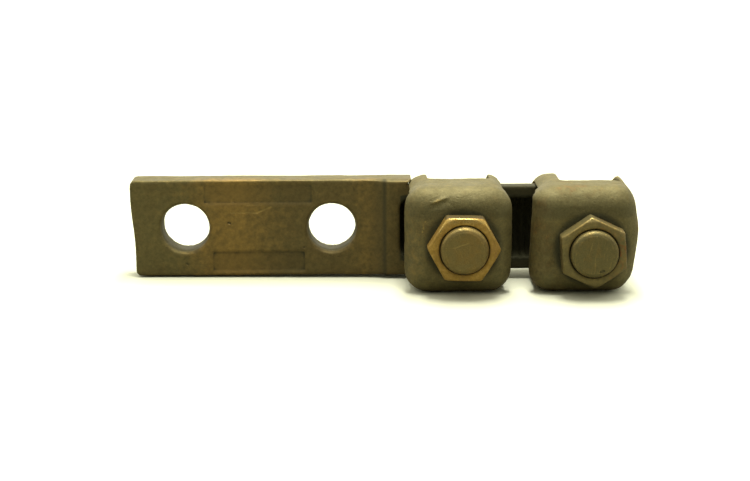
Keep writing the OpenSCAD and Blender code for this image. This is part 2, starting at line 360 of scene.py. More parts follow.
def vector_maths(operation, *values):
    node = add_node(tree_of(*values), "ShaderNodeVectorMath", enumerate(values),
                    operation=operation)
    single = operation in ("LENGTH", "DOT_PRODUCT", "DISTANCE")
    return node.outputs["Value" if single else "Vector"]


def scaled(vector, factor):
    return add_node(tree_of(vector), "ShaderNodeVectorMath", {0: vector, "Scale": factor},
                    operation="SCALE").outputs[0]


def smooth_range(value, start, end, low=0.0, high=1.0):
    """Smooth map of a value from start..end to low..high."""
    node = add_node(tree_of(value), "ShaderNodeMapRange",
                    {"Value": value, "From Min": start, "From Max": end,
                     "To Min": low, "To Max": high}, interpolation_type="SMOOTHSTEP")
    return node.outputs["Result"]


def mixed(share, a, b, blend="MIX"):
    """Colour a turned into colour b by a share."""
    tree = tree_of(share, a, b)
    node = tree.nodes.new("ShaderNodeMix")
    node.data_type, node.blend_type, node.clamp_result = "RGBA", blend, False
    for socket, value in zip([s for s in node.inputs if s.enabled], (share, a, b)):
        feed(tree, socket, value)
    return next(s for s in node.outputs if s.enabled)


def clouds(vector, size, seed, detail=3.0, roughness=0.55, distortion=0.0):
    """Soft noise around 0.5 with clouds of a given size."""
    tree = tree_of(vector)
    size = maths("DIVIDE", 1.0, size) if isinstance(size, bpy.types.NodeSocket) else 1.0 / size
    node = add_node(tree, "ShaderNodeTexNoise",
                    {"Vector": vector, "Scale": size, "W": seed,
                     "Detail": detail, "Roughness": roughness, "Distortion": distortion},
                    noise_dimensions="4D")
    return node.outputs["Fac"]


def new_group(name, kind, inputs, outputs):
    """An empty node group with named sockets, as lists of names by socket type."""
    tree = bpy.data.node_groups.new(name, kind)
    for side, sockets in (("INPUT", inputs), ("OUTPUT", outputs)):
        for form, names in sockets.items():
            for socket in names:
                tree.interface.new_socket(socket, in_out=side, socket_type=f"NodeSocket{form}")
    return tree, tree.nodes.new("NodeGroupInput").outputs, tree.nodes.new("NodeGroupOutput").inputs


def add_geometry_nodes(piece, group, values):
    """A Geometry Nodes modifier with its inputs set by their identifiers."""
    tree = bpy.data.node_groups[group]
    modifier = piece.modifiers.new(group, "NODES")
    modifier.node_group = tree
    for item in tree.interface.items_tree:
        if item.item_type == "SOCKET" and item.in_out == "INPUT" and item.name in values:
            modifier[item.identifier] = values[item.name]


# ---- geometry groups

def finish_tree(tree, given, result, offset):
    """Ends a tree: points moved, instances realized, material set."""
    moved = add_node(tree, "GeometryNodeSetPosition",
                     {"Geometry": given["Geometry"], "Offset": offset}).outputs[0]
    real = add_node(tree, "GeometryNodeRealizeInstances", {"Geometry": moved}).outputs[0]
    dressed = add_node(tree, "GeometryNodeSetMaterial",
                       {"Geometry": real, "Material": given["Material"]}).outputs[0]
    tree.links.new(dressed, result["Geometry"])


def cast_skin_group():
    """Slow lumps and sand grain pushed in and out of a casting's skin."""
    tree, given, result = new_group("Cast skin", "GeometryNodeTree", {
        "Geometry": ["Geometry"], "Material": ["Material"],
        "Float": ["Lump Size", "Lump Height", "Grain Size", "Grain Height", "Seed"]},
        {"Geometry": ["Geometry"]})
    place = tree.nodes.new("GeometryNodeInputPosition").outputs[0]
    normal = tree.nodes.new("GeometryNodeInputNormal").outputs[0]
    skin = add_node(tree, "GeometryNodeInputNamedAttribute", {"Name": "skin"})
    height = 0.0
    for layer, shift in (("Lump", 0.0), ("Grain", 5.0)):
        noise = clouds(place, given[f"{layer} Size"], plus(given["Seed"], shift), 2.0)
        swing = times(minus(noise, 0.5), 4.0)
        height = plus(height, times(swing, given[f"{layer} Height"]))
    height = times(height, skin.outputs["Attribute"])
    finish_tree(tree, given, result, scaled(normal, height))


def thread_group():
    """A right-hand thread cut into a turned stem whose axis runs along -Y."""
    tree, given, result = new_group("Screw thread", "GeometryNodeTree", {
        "Geometry": ["Geometry"], "Material": ["Material"], "Vector": ["Axis"],
        "Float": ["Radius", "Pitch", "Depth", "Start", "End", "Fade"]},
        {"Geometry": ["Geometry"]})
    place = tree.nodes.new("GeometryNodeInputPosition").outputs[0]
    arm = vector_maths("SUBTRACT", place, given["Axis"])
    parts = add_node(tree, "ShaderNodeSeparateXYZ", {0: arm}).outputs
    turn = maths("DIVIDE", maths("ARCTAN2", parts["Z"], parts["X"]), 2 * math.pi)
    along = times(parts["Y"], -1.0)
    # 64 more turns keep the phase above zero
    turns = minus(maths("DIVIDE", along, given["Pitch"]), turn)
    phase = maths("FRACT", plus(turns, 64.0))
    valley = minus(1.0, times(maths("ABSOLUTE", minus(phase, 0.5)), 2.0))
    valley = smooth_range(valley, 0.08, 0.97)
    # only the cylinder itself is cut, and the thread fades in and out
    outwards = vector_maths("MULTIPLY", arm, (1.0, 0.0, 1.0))
    on_thread = smooth_range(vector_maths("LENGTH", outwards),
                             minus(given["Radius"], 0.00012),
                             minus(given["Radius"], 0.00004))
    on_thread = times(on_thread, smooth_range(
        along, given["Start"], plus(given["Start"], given["Fade"])))
    on_thread = times(on_thread, smooth_range(
        along, minus(given["End"], given["Fade"]), given["End"], 1.0, 0.0))
    cut = times(times(valley, given["Depth"]), on_thread)
    cut = maths("DIVIDE", times(cut, -1.0), given["Radius"])
    finish_tree(tree, given, result, scaled(outwards, cut))


# ---- shader groups

def aged_bronze_group():
    """Patina in clouds, thin golden places, rubbed edges that also carry painted highlights, and dirt with painted
    shade in corners and hollows.
    """
    tree, given, result = new_group("Aged bronze", "ShaderNodeTree", {
        "Vector": ["Vector"],
        "Color": ["Base", "Second", "Thin", "Stain", "Bright", "Grime Colour"],
        "Float": ["Second Share", "Thin Share", "Stain Share", "Edge", "Wear", "Hollow", "Grime",
                  "Cloud Size", "Speck Size", "Dullness", "Metal", "Seed"]},
        {"Color": ["Color"], "Float": ["Roughness", "Metallic"]})
    vector, seed = given["Vector"], given["Seed"]
    cloud = clouds(vector, given["Cloud Size"], seed, 5.0, 0.6, 0.4)
    small = clouds(vector, times(given["Cloud Size"], 0.28), plus(seed, 3.1), 5.0, 0.65)
    speck = clouds(vector, given["Speck Size"], plus(seed, 7.7), 3.0, 0.7)

    def swing(noise, reach):
        """A noise turned about zero and stretched."""
        return times(minus(noise, 0.5), reach)

    def share_of(amount, noise, reach):
        """A soft mask that grows with an amount and follows a noise."""
        return smooth_range(plus(amount, swing(noise, reach)), 0.0, 1.0)

    patina = mixed(share_of(given["Second Share"], cloud, 2.2), given["Base"], given["Second"])
    patina = mixed(share_of(given["Thin Share"], small, 1.1), patina, given["Thin"])
    stain = times(share_of(given["Stain Share"], cloud, 2.6), smooth_range(small, 0.42, 0.62))
    patina = mixed(stain, patina, given["Stain"])
    tone = plus(smooth_range(speck, 0.28, 0.72, 0.86, 1.12),
                smooth_range(small, 0.3, 0.7, -0.12, 0.12))
    tone = add_node(tree, "ShaderNodeCombineColor", {0: tone, 1: tone, 2: tone}).outputs[0]
    patina = mixed(1.0, patina, tone, "MULTIPLY")
    # rubbed edges turn to bare bronze; where the edge mask is raised for them, these are painted highlights
    rubbed = plus(given["Edge"], plus(swing(speck, 1.1), swing(small, 0.9)))
    worn = times(smooth_range(rubbed, 0.35, 0.8), given["Wear"])
    patina = mixed(worn, patina, given["Bright"])
    # dirt and painted shade: the grime colour is laid where the hollow mask is high
    dirt_and_shade = smooth_range(plus(given["Hollow"], swing(small, 0.5)), 0.1, 0.75)
    dirt_and_shade = times(dirt_and_shade, given["Grime"])
    tree.links.new(mixed(dirt_and_shade, patina, given["Grime Colour"]), result["Color"])
    rough = plus(given["Dullness"], smooth_range(cloud, 0.3, 0.7, -0.08, 0.08))
    rough = plus(minus(rough, times(worn, 0.25)), times(dirt_and_shade, 0.2))
    tree.links.new(rough, result["Roughness"])
    metal = plus(given["Metal"], times(minus(0.8, given["Metal"]), worn))
    metal = times(metal, minus(1.0, times(dirt_and_shade, 0.8)))
    tree.links.new(metal, result["Metallic"])


def casting_grain_group():
    """Height of a sand-cast surface: grain, small pits and soft waves."""
    tree, given, result = new_group("Casting grain", "ShaderNodeTree", {
        "Vector": ["Vector"], "Float": ["Grain Size", "Pit Size", "Pits", "Seed"]},
        {"Float": ["Height"]})
    vector, seed = given["Vector"], given["Seed"]
    grain = clouds(vector, given["Grain Size"], seed, 4.0, 0.65)
    waves = clouds(vector, times(given["Grain Size"], 4.0), plus(seed, 2.0), 2.0)
    cells = add_node(tree, "ShaderNodeTexVoronoi", {
        "Vector": vector, "Scale": maths("DIVIDE", 1.0, given["Pit Size"])})
    pit = smooth_range(cells.outputs["Distance"], 0.08, 0.32, -1.0, 0.0)
    pit = times(pit, smooth_range(waves, 0.5, 0.6))
    height = plus(plus(grain, times(waves, 0.8)), times(pit, given["Pits"]))
    tree.links.new(height, result["Height"])


def hairline_group():
    """Height and mask of fine scratches that run along the vector's Z."""
    tree, given, result = new_group("Hairlines", "ShaderNodeTree", {
        "Vector": ["Vector"], "Float": ["Spacing", "Run", "Seed"]},
        {"Float": ["Height", "Mask"]})
    across, along = (maths("DIVIDE", 1.0, given[key]) for key in ("Spacing", "Run"))
    stretch = add_node(tree, "ShaderNodeCombineXYZ", {0: across, 1: across, 2: along}).outputs[0]
    noise = add_node(tree, "ShaderNodeTexNoise", {
        "Vector": vector_maths("MULTIPLY", given["Vector"], stretch), "Scale": 1.0,
        "W": given["Seed"], "Detail": 3.0}, noise_dimensions="4D").outputs["Fac"]
    tree.links.new(noise, result["Height"])
    tree.links.new(smooth_range(noise, 0.6, 0.72), result["Mask"])


def scrape_group():
    """A mark along a short line that wanders and breaks: 1 on the line, 0 beside it."""
    tree, given, result = new_group("Scrape", "ShaderNodeTree", {
        "Vector": ["Vector", "From", "To"], "Float": ["Width"]}, {"Float": ["Mask"]})
    warp = add_node(tree, "ShaderNodeTexNoise", {
        "Vector": given["Vector"], "Scale": 400.0, "Detail": 2.0}).outputs["Color"]
    warp = scaled(vector_maths("SUBTRACT", warp, (0.5, 0.5, 0.5)), 0.3 * MM)
    wandered = vector_maths("ADD", given["Vector"], warp)
    arm = vector_maths("SUBTRACT", wandered, given["From"])
    run = vector_maths("SUBTRACT", given["To"], given["From"])
    part = maths("DIVIDE", vector_maths("DOT_PRODUCT", arm, run),
                 vector_maths("DOT_PRODUCT", run, run))
    part = add_node(tree, "ShaderNodeClamp", {"Value": part}).outputs[0]
    away = vector_maths("DISTANCE", arm, scaled(run, part))
    mark = smooth_range(away, times(given["Width"], 0.3), given["Width"], 1.0, 0.0)
    broken = smooth_range(clouds(given["Vector"], 1.5 * MM, 3.0), 0.4, 0.6)
    whole = minus(1.0, times(0.5, broken))
    tree.links.new(times(mark, whole), result["Mask"])


# ---- materials

def place_group(tree, group, inputs):
    """The outputs of a shader group placed in a material, with its inputs set by name."""
    return add_node(tree, "ShaderNodeGroup", inputs, node_tree=bpy.data.node_groups[group]).outputs


def bronze_material(name, finish, seed, patina, grain, bump, viewport, extra=None):
    """Aged bronze over a cast or turned surface. A patina input given as text is a mask;
    the grain is its grain size, pit size and pits, and the bump is a height, in mm."""
    material = bpy.data.materials.new(name)
    material.use_nodes = True
    material.diffuse_color = (*viewport, 1)
    tree = material.node_tree
    shader = tree.nodes["Principled BSDF"]
    place = tree.nodes.new("ShaderNodeTexCoord").outputs["Object"]
    given = {"Vector": place, "Seed": seed, "Edge": "edge", "Hollow": "hollow",
             "Stain": finish.copper, "Bright": finish.bright, "Grime Colour": finish.grime_and_shade, **patina}
    for key, value in given.items():
        if isinstance(value, str):
            given[key] = add_node(tree, "ShaderNodeAttribute", attribute_name=value).outputs["Fac"]
    skin = place_group(tree, "Aged bronze", given)
    height = place_group(tree, "Casting grain", {
        "Vector": place, "Seed": seed, "Grain Size": grain[0] * MM, "Pit Size": grain[1] * MM,
        "Pits": grain[2]})["Height"]
    colour_now = skin["Color"]
    if extra:
        colour_now, height = extra(tree, place, colour_now, height)
    bumpy = add_node(tree, "ShaderNodeBump", {
        "Height": height, "Strength": 1.0, "Distance": bump * MM}).outputs[0]
    for key, value in (("Base Color", colour_now), ("Roughness", skin["Roughness"]),
                       ("Metallic", skin["Metallic"]), ("Specular IOR Level", 0.35),
                       ("Normal", bumpy)):
        feed(tree, shader.inputs[key], value)
    return material


def with_marks(face, marks):
    """An extra step of a material: scrapes and nicks on a face that lies at one y, in mm,
    as (from, to, width, colour, share, depth) with x and z for each end."""
    squeeze = 0.3   # how much distance along Y counts

    def add(tree, place, colour_now, height):
        flat = vector_maths("MULTIPLY", place, (1.0, squeeze, 1.0))
        for (x0, z0), (x1, z1), width, tint, share, depth in marks:
            mask = place_group(tree, "Scrape", {
                "Vector": flat, "From": Vector((x0, squeeze * face, z0)) * MM,
                "To": Vector((x1, squeeze * face, z1)) * MM, "Width": width * MM})["Mask"]
            colour_now = mixed(times(mask, share), colour_now, tint)
            height = plus(height, times(mask, depth))
        return colour_now, height

    return add


def lug_material(finish):
    marks = with_marks(face_level(), [
        ((-8.2, 4.9), (-0.3, 4.8), 0.35, finish.bright, 0.25, -0.8),
        ((-0.6, 4.7), (3.9, 6.6), 0.4, finish.bright, 0.35, -0.8),
        ((-3.3, 7.2), (1.2, 7.3), 0.3, finish.bright, 0.12, -0.5),
        ((-8.9, 1.7), (-8.6, 1.6), 0.6, finish.grime_and_shade, 0.8, -3.0),
        ((13.7, -6.0), (14.2, -5.9), 0.5, finish.grime_and_shade, 0.5, -2.0),
        ((-22.0, -11.0), (-21.5, -11.3), 0.5, finish.grime_and_shade, 0.5, -2.0)])
    return bronze_material("lug cast bronze", finish, 1.0, {
        "Base": finish.brown, "Second": finish.olive, "Second Share": "cool",
        "Thin": finish.golden, "Thin Share": "gold", "Stain Share": -0.25, "Wear": 0.7,
        "Grime": 0.9, "Cloud Size": 7 * MM, "Speck Size": 0.9 * MM, "Dullness": 0.5,
        "Metal": 0.55}, (0.7, 2.3, 1.0), 0.09, finish.brown, marks)


def collar_material(finish, end, seed):
    return bronze_material(f"{end} collar cast bronze", finish, seed, {
        "Base": finish.green, "Second": finish.brown, "Second Share": "cool",
        "Thin": finish.golden, "Thin Share": "gold", "Stain Share": -0.3 if end == "inner" else -0.1,
        "Wear": 0.5, "Grime": 0.85, "Cloud Size": 6 * MM, "Speck Size": 0.6 * MM, "Dullness": 0.58,
        "Metal": 0.45}, (0.5, 1.7, 0.6), 0.14, finish.green)


def hexagon_material(finish, end, seed):
    """The inner hexagon is worn golden, the outer one is dull with copper patches."""
    if end == "inner":
        patina = {"Base": finish.hexagon, "Second": finish.golden, "Second Share": 0.15,
                  "Thin Share": 0.2, "Wear": 0.9, "Dullness": 0.45}
    else:
        patina = {"Base": finish.turned, "Second": finish.green, "Second Share": 0.5,
                  "Thin Share": 0.0, "Wear": 0.65, "Dullness": 0.5}
    return bronze_material(f"{end} hexagon bronze", finish, seed, {
        **patina, "Thin": finish.bright, "Stain Share": "gold", "Grime": 0.8,
        "Cloud Size": 4.5 * MM, "Speck Size": 0.5 * MM, "Metal": 0.5},
        (0.45, 1.5, 0.5), 0.045, finish.hexagon)


def stem_material(finish, end, seed):
    axis, front = screw_axis(end), box_in_mm(f"{end}_screw_stem")[0].y
    if end == "inner":
        base, golden_share, grain_turn = finish.turned, 0.3, 18
        nick = ((axis.x - 3.5, axis.z + 1.0), (axis.x + 1.0, axis.z + 2.6), 0.25,
                finish.bright, 0.3, -1.0)
    else:
        base, golden_share, grain_turn = finish.green, 0.05, -8
        nick = ((axis.x + 1.6, axis.z - 4.9), (axis.x + 2.6, axis.z - 4.5), 0.45,
                finish.grime_and_shade, 0.9, -4.0)

    def scratched(tree, place, colour_now, height):
        turned = add_node(tree, "ShaderNodeMapping", {
            "Vector": place, "Rotation": (0.0, math.radians(grain_turn), 0.0)}).outputs[0]
        lines = place_group(tree, "Hairlines", {
            "Vector": turned, "Spacing": 0.32 * MM, "Run": 4 * MM, "Seed": seed})
        colour_now = mixed(times(lines["Mask"], 0.35), colour_now, finish.bright)
        height = plus(height, times(lines["Height"], 1.2))
        return with_marks(front, [nick])(tree, place, colour_now, height)

    return bronze_material(f"{end} stem bronze", finish, seed, {
        "Base": base, "Second": finish.golden, "Second Share": golden_share,
        "Thin": finish.brown, "Thin Share": 0.3, "Stain Share": -0.3, "Wear": 0.7, "Grime": 0.6,
        "Cloud Size": 3.5 * MM, "Speck Size": 0.35 * MM, "Dullness": 0.5, "Metal": 0.65},
        (0.35, 1.2, 0.4), 0.05, finish.turned, scratched)


def saddle_material(finish, end, seed):
    return bronze_material(f"{end} saddle bronze", finish, seed, {
        "Base": finish.brown, "Second": finish.green, "Second Share": 0.4,
        "Thin": finish.golden, "Thin Share": 0.1, "Stain Share": -0.2, "Wear": 0.6, "Grime": 0.8,
        "Cloud Size": 5 * MM, "Speck Size": 0.6 * MM, "Dullness": 0.6, "Metal": 0.5},
        (0.6, 1.8, 0.7), 0.08, finish.brown)


# ---- pieces

def box_in_mm(node):
    """A CAD node's lowest and highest corners at rest, in mm."""
    low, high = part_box(node)
    return low / MM, high / MM


def screw_axis(end):
    """The place on a screw's axis that the record gives, in mm."""
    return Vector(JOINTS[f"{end}_screw_turn"]["pos_m"]) / MM


def half_spacing():
    """Half the distance between the bolt holes, in mm."""
    return frame["record"]["mounts"][0]["dims"]["spacing_x_mm"] / 2


def face_level():
    """The tongue's front face, along Y, in mm."""
    return min(v.co.y for v in frame["nodes"]["lug_body"].data.vertices if v.co.x < 0) / MM


def skin_of(settings):
    """Lump size, lump height, grain size and grain height of a casting, in mm."""
    return [getattr(settings, key) / MM
            for key in ("lump_size", "lump_height", "grain_size", "grain_height")]


def lay_skin(piece, share, sizes, seed, material):
    """Gives a piece its lumps and grain by a share, and makes it one plain mesh."""
    set_mask(piece.data, "skin", share)
    names = ("Lump Size", "Lump Height", "Grain Size", "Grain Height")
    add_geometry_nodes(piece, "Cast skin", {
        **{name: size * MM for name, size in zip(names, sizes)}, "Seed": seed, "Material": material})
    make_plain(piece)
    piece.data.attributes.remove(piece.data.attributes["skin"])
    return piece.data


def dress(piece, material, node, body):
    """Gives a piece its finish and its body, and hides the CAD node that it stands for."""
    piece.data.materials.clear()
    piece.data.materials.append(material)
    for face in piece.data.polygons:
        face.material_index = 0
    piece.data.shade_smooth()
    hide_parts(node)
    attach(piece, body)


def make_lug(settings, finish):
    piece = merged_copy("lug_body", "lug_casting")
    reskin(piece, settings.voxel, settings.rounds)
    low, high = box_in_mm("lug_body")
    middle, front = half_spacing(), face_level()
    points = get_points(piece.data)
    x, y, z = points.T
    # the tongue's end swells a little near its top and is drawn in near its foot
    height = high.z - low.z
    near_end = ramp(-x, -(low.x + 9), -(low.x + 1))
    swell = hump(z, 0.28 * height, 0.22 * height)
    foot = hump(z, -0.18 * height, 0.20 * height)
    x += near_end * settings.end_bulge / MM * (0.8 * foot - swell)
    # the bolt holes open out a little at the front
    for hole in (-middle, middle):
        arm = points[:, ::2] - (hole, 0.0)
        reach = np.hypot(*arm.T)
        flare = (1 - ramp(y - front, 0, 2.4)) * (1 - ramp(reach, 7.2, 9.2))
        points[:, ::2] += arm / np.maximum(reach, 1)[:, None] * (
            settings.rim_flare / MM * flare)[:, None]
    set_points(piece.data, points)
    material = lug_material(finish)
    on_tongue = ramp(-x, -43, -40)
    mesh = lay_skin(piece, 0.35 + 0.65 * on_tongue, skin_of(settings), 1.0, material)
    mark_edges(mesh, 0.10, 0.30)
    x, y, z = get_points(mesh).T
    face = ramp(-y, 2, 7)
    bore = np.minimum(np.hypot(x - middle, z), np.hypot(x + middle, z))
    in_bore = 1 - ramp(bore, 7.25, 7.6)
    # chips along the tongue's top edge
    chips = hump(x, -25.5, 5.5) + hump(x, 1, 3.5)
    rim = np.where(z > 13, 0.11 + 0.22 * chips, 0.1)
    rim = np.where(x < -35, 0.15, rim) * (1 - 0.6 * ramp(x, 34, 40))
    scale_mask(mesh, "edge", rim)
    # painted shade in the trough, on its rails between the collars, by the shoulder's step and in the bolt holes;
    # dirt and painted shade in the panels
    inside = (1 - ramp(np.hypot(y + 7, z), 9.8, 11)) * ramp(x, 42, 44)
    rails = 0.6 * ramp(x, 46.6, 47.4) * ramp(-y, 3, 7)
    raise_mask(mesh, "hollow", np.maximum(inside, rails))
    shoulder = (0.3 * hump(x, 36.6, 3.2) + 0.3 * hump(x, 38.3, 0.7)) * (
        1 - 0.7 * ramp(x, 38.9, 39.8))
    shoulder += 0.3 * ramp(x, 41.2, 43) * (1 - ramp(np.abs(z), 10, 12.5))
    panels = 0.26 * band(z, 6.6, 7.4, 13.2, 14) * band(x, -17, -16, 16, 17)
    panels += 0.28 * band(-z, 6.4, 7.2, 13.4, 14.2) * band(x, -15, -14, 13.5, 14.5)
    raise_mask(mesh, "hollow", (shoulder + panels) * ramp(-y, 6.6, 7.4))
    raise_mask(mesh, "hollow", 0.42 * in_bore)
    # golden between the holes and by the shoulder, cooler at the far end and off the face
    gold = hump(x, -8, 13) + 0.45 * hump(x, 33, 5)
    set_mask(mesh, "gold", face * gold * 0.72 * (1 - in_bore))
    cool = np.maximum(0.15 + 0.6 * ramp(-x, 8, 30) * face, in_bore)
    set_mask(mesh, "cool", cool + 0.5 * (1 - face) + 0.4 * ramp(z, 13.6, 14.6))
    dress(piece, material, "lug_body", "lug")


def dent_place(x, z, middle):
    """How far points are along and over the lip of the inner collar's dent, in mm."""
    right, up = x - (middle.x - 5.9), z - (middle.z + 12.6)
    return 0.95 * right + 0.31 * up, 0.95 * up - 0.31 * right


def shape_collar(end, mesh, settings):
    """Softens a collar and gives it its lean and its dent; returns its share of skin."""
    low, high = box_in_mm(f"{end}_collar")
    middle, axis = (low + high) / 2, screw_axis(end)
    front = low.y + FRONT_WALL
    round_off = settings.round_off / MM
    # every edge but those of the thin far rails is softened further
    points = get_points(mesh)
    soft = spread(points, get_edges(mesh), settings.rounds)
    thin = ramp(points[:, 0] - middle.x, 10.5, 11.8) * ramp(points[:, 1], front, front + 3)
    points = soft + (points - soft) * thin[:, None]
    x, y, z = points.T
    # the wall round the screw keeps its shape
    by_screw = 1 - ramp(np.hypot(x - axis.x, z - axis.z), 7.6, 10.5)
    free = 1 - (1 - ramp(y, front, front + 1)) * by_screw
    if end == "outer":
        up = z - middle.z
        x += math.tan(settings.lean) * up * free
        far_side = ramp(x - middle.x, 6, 15)
        lower = ramp(-up, 0, 13) * far_side
        upper = (1.45 * ramp(up, 2, 11) - 0.75 * ramp(up, 11, 15.9)) * far_side
        x -= settings.taper / MM * lower + round_off * upper
        # the thin lower rail gets back what the softening took
        facing = get_normals(mesh)
        thick = thin * ramp(-up, 8, 12)
        x += 0.5 * thick * facing[:, 0]
        z -= 0.7 * thick * np.maximum(-facing[:, 2], 0)
    else:
        # a shallow dent under a raised lip, up and left of the screw
        along, over = dent_place(x, z, middle)
        lip = hump(over, 0, 0.38) * hump(along, 0, 2.3, 4)
        bowl = hump(over, -1.25, 0.95) * hump(along, 0, 2.9, 4)
        y += settings.dent / MM * (0.8 * bowl - 0.9 * lip) * (1 - ramp(y, front - 3, front))
    # the ring's upper corners are rounded off to meet the front's
    out = x - middle.x
    near, far = (0.0, 1.0) if end == "inner" else (0.6, 0.0)
    corner = ramp(np.abs(out), 10, 15.5) * ramp(z, 8, 15.9) * np.where(out < 0, near, far)
    x -= np.sign(out) * round_off * corner * ramp(y, front, front + 5)
    # the front's upper corner on the tongue's side is full
    full = ramp(-out, 8, 14) * (1 - ramp(y, front + 1, front + 6)) * band(z, 9.5, 13.5, 14.5, 15.9)
    x -= (0.4 if end == "inner" else 1.2) * full
    set_points(mesh, points)
    # the ring's inside is smoother than the rest
    bend = high.y - (high.z - low.z) / 2
    inside = (np.hypot(np.maximum(y - bend, 0), z) < 14.2) & (y > front)
    return np.where(inside, 0.25, 1.0) * (0.1 + 0.9 * free)


def make_collar(end, settings, finish):
    node = f"{end}_collar"
    piece = merged_copy(node, f"{end}_collar_casting")
    reskin(piece, settings.voxel, 4)
    share = shape_collar(end, piece.data, settings)
    seed = 4.0 + ENDS.index(end)
    material = collar_material(finish, end, seed)
    mesh = lay_skin(piece, share, skin_of(settings), seed, material)
    mark_edges(mesh, 0.14, 0.40)
    low, high = box_in_mm(node)
    middle, axis = (low + high) / 2, screw_axis(end)
    x, y, z = get_points(mesh).T
    face = 1 - ramp(y, low.y + 1, low.y + 7)
    top = ramp(z, 9, 14)
    # painted shade round the hexagon's seat, in a band above the hexagon and, more lightly, over the collar's
    # upper front
    seat = 0.8 * face * (1 - ramp(np.hypot(x - axis.x, z - axis.z), 9.2, 13.2))
    brow = face * (0.36 * ramp(z, 5.5, 8) - 0.11 * ramp(z, 10, 12))
    raise_mask(mesh, "hollow", np.maximum(seat, brow))
    scale_mask(mesh, "edge", np.where(z > 12, 0.5, 0.25))
    golden_side = 0.22 * ramp(middle.x - x, 8, 13) * face if end == "inner" else 0
    set_mask(mesh, "gold", 0.04 * top + golden_side * (1 - top))
    cool = (0.15 if end == "inner" else 0.45) * ramp(middle.x - x, 2, 12)
    set_mask(mesh, "cool", cool * (1 - top))
    if end == "inner":
        # brass streaks at the left, as (across, up, wide, tall), and a painted highlight along the raised lip of
        # the dent
        streaks = sum(hump(x, middle.x + across, wide) * hump(z, up, tall) for across, up, wide, tall
                      in ((-10.4, 4.9, 0.4, 0.9), (-10.7, 3.4, 0.3, 0.5), (-9.8, 6.6, 0.3, 0.4)))
        along, over = dent_place(x, z, middle)
        lip = hump(over, 0, 0.5) * hump(along, 0, 2.2, 4)
        raise_mask(mesh, "edge", np.maximum(0.9 * streaks, 0.6 * lip) * face)
    dress(piece, material, node, f"{end}_collar")


def make_hexagon(end, settings, finish):
    node = f"{end}_hexagon"
    piece = merged_copy(node, f"{end}_hexagon_piece")
    reskin(piece, settings.hexagon_voxel, 14)
    axis, front = screw_axis(end), box_in_mm(node)[0].y
    # wear leans the front face back towards the hexagon's top
    points = get_points(piece.data)
    x, y, z = points.T
    above = np.maximum(z - axis.z - 5.6, 0)
    y += (0.16 if end == "inner" else 0.05) * above * (1 - ramp(y, front + 1, front + 4.5))
    set_points(piece.data, points)
    seed = 8.0 + ENDS.index(end)
    material = hexagon_material(finish, end, seed)
    mesh = lay_skin(piece, 1, HEXAGON_SKIN, seed, material)
    mark_edges(mesh, 0.07, 0.16)
    x, y, z = get_points(mesh).T
    across, up = x - axis.x, z - axis.z
    bevel = 1 - ramp(y, front + 0.9, front + 1.5)
    flank = ramp(up, 8, 9) * (1 - bevel)
    # painted shade in the countersink round the stem
    raise_mask(mesh, "hollow", 1 - ramp(np.hypot(across, up), 7.15, 7.6))
    scale_mask(mesh, "edge", (0.4 if end == "inner" else 0.25) + 0.4 * ramp(up, 2, 8))
    if end == "inner":
        # the top front bevel is brightened towards bare bronze: partly rubbed, partly a painted highlight where
        # the rounded edge catches the light from above
        raise_mask(mesh, "edge", 0.62 * bevel * ramp(up, 6.6, 8.2))
        set_mask(mesh, "gold", 0.1 + 0.5 * flank)
    else:
        # copper patches at the right and above it
        turn = np.arctan2(up, across)
        low_patch = ramp(np.cos(turn + math.radians(12)), 0.5, 0.98)
        high_patch = ramp(np.cos(turn - math.radians(62)), 0.8, 0.99)
        set_mask(mesh, "gold", 0.6 * np.maximum(low_patch, 0.8 * high_patch))
    # the top flank is made darker and less rubbed
    raise_mask(mesh, "hollow", (0.7 if end == "inner" else 0.42) * flank)
    scale_mask(mesh, "edge", 1 - 0.85 * flank)
    dress(piece, material, node, f"{end}_screw")


def turned_piece(name, axis, profile, segments):
    """A turned closed shape about a line along Y: profile of (y, radius), all in mm."""
    shape = bmesh.new()
    turns = [2 * math.pi * i / segments for i in range(segments)]
    rings = [[shape.verts.new(Vector((
        axis.x + radius * math.cos(turn), y, axis.z + radius * math.sin(turn))) * MM)
        for turn in turns] for y, radius in profile]
    for a, b in zip(rings, rings[1:]):
        for i in range(segments):
            j = (i + 1) % segments
            shape.faces.new((a[i], a[j], b[j], b[i]))
    for ring, (y, _) in ((rings[0], profile[0]), (rings[-1], profile[-1])):
        tip = shape.verts.new(Vector((axis.x, y, axis.z)) * MM)
        for i in range(segments):
            shape.faces.new((ring[i], ring[(i + 1) % segments], tip))
    bmesh.ops.recalc_face_normals(shape, faces=shape.faces)
    return object_from(shape, name)


def fine_profile(corners, step):
    """The corners of a profile with even points between them."""
    points = [corners[0]]
    for (y0, r0), (y1, r1) in zip(corners, corners[1:]):
        count = max(1, round(math.hypot(y1 - y0, r1 - r0) / step))
        points += [(y0 + (y1 - y0) * k / count, r0 + (r1 - r0) * k / count)
                   for k in range(1, count + 1)]
    return points


